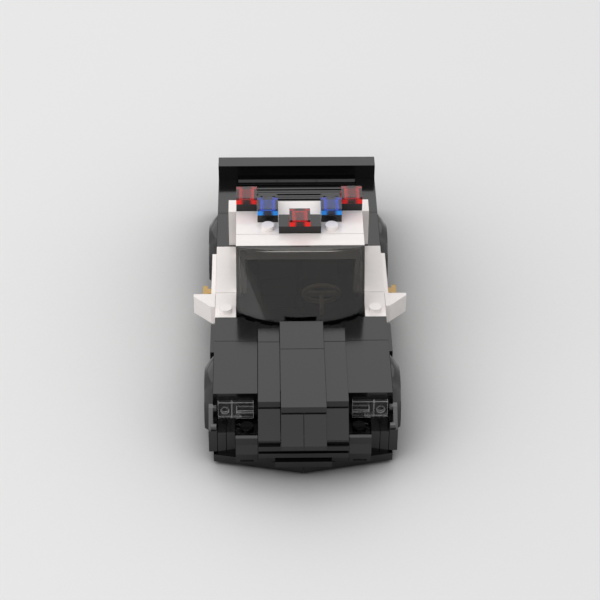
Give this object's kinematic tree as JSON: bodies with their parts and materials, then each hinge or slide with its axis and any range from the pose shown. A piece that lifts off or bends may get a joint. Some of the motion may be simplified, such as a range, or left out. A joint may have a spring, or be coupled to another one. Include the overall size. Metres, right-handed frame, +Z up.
{
  "type": "brick-built toy police patrol car",
  "caption": "Low toy police patrol car built from interlocking bricks: black body, white doors and roof, smoked windscreen, red and blue roof lamps, rear spoiler, four rolling wheels.",
  "frame": {"origin": "on the floor, at the middle of the outline seen from above", "axes": "+Z up, nose towards -Y, the car's left side towards +X"},
  "size_m": [0.0804, 0.1678, 0.0522],
  "materials": {
    "black": "glossy moulded black",
    "white": "glossy moulded white",
    "smoked": "smoked clear plastic",
    "clear": "clear plastic",
    "clear_red": "clear red plastic",
    "clear_blue": "clear blue plastic",
    "pale_grey": "glossy moulded light grey",
    "gold": "pearl gold plastic",
    "dark_grey": "glossy moulded dark grey",
    "tan": "glossy moulded tan",
    "silver": "silver grey plastic",
    "tyre": "soft black rubber"
  },
  "bodies": {
    "body": {"axle_bricks": "black", "blue_lamps": "clear_blue", "cabin_floor": "black", "corner_brackets": "pale_grey", "corner_plates": "black", "cowl_rim": "black", "dashboard": "black", "door_caps": "white", "door_panels": "white", "door_skins": "white", "floor_plates": "black", "fog_lamp_blocks": "black", "front_arches": "black", "front_fenders": "black", "front_lip": "black", "grille": "black", "headlamps": "clear", "hood_centre_tiles": "black", "hood_core": "black", "hood_inner_tiles": "black", "hood_outer_panels": "black", "lamp_bases": "black", "louvres": "black", "mirror_clips": "gold", "mirrors": "white", "nose_slopes": "black", "rear_arches": "black", "rear_bumper": "black", "rear_fender_caps": "black", "rear_fenders": "black", "rear_glass": "smoked", "rear_panel": "black", "rear_quarters": "black", "red_lamps": "clear_red", "roof_plate": "white", "roof_side_rails": "white", "roof_tiles": "white", "seats": "dark_grey", "shelf_plates": "black", "side_glass": "smoked", "side_sills": "black", "spoiler": "black", "steering_wheel": "tan", "tail_lamps": "clear_red", "trunk_ledge": "black", "window_posts": "white", "windscreen": "smoked"},
    "front_left_wheel": {"front_left_tyre": "tyre", "front_left_rim": "silver", "front_left_pin": "dark_grey"},
    "front_right_wheel": {"front_right_tyre": "tyre", "front_right_rim": "silver", "front_right_pin": "dark_grey"},
    "rear_left_wheel": {"rear_left_tyre": "tyre", "rear_left_rim": "silver", "rear_left_pin": "dark_grey"},
    "rear_right_wheel": {"rear_right_tyre": "tyre", "rear_right_rim": "silver", "rear_right_pin": "dark_grey"}
  },
  "joints": [
    {"name": "front_left_spin", "type": "hinge", "parent": "body", "child": "front_left_wheel", "pos_m": [0.0288, -0.049, 0.0104], "axis": [1, 0, 0], "continuous": true},
    {"name": "front_right_spin", "type": "hinge", "parent": "body", "child": "front_right_wheel", "pos_m": [-0.0288, -0.049, 0.0104], "axis": [1, 0, 0], "continuous": true},
    {"name": "rear_left_spin", "type": "hinge", "parent": "body", "child": "rear_left_wheel", "pos_m": [0.0288, 0.039, 0.0104], "axis": [1, 0, 0], "continuous": true},
    {"name": "rear_right_spin", "type": "hinge", "parent": "body", "child": "rear_right_wheel", "pos_m": [-0.0288, 0.039, 0.0104], "axis": [1, 0, 0], "continuous": true}
  ]
}
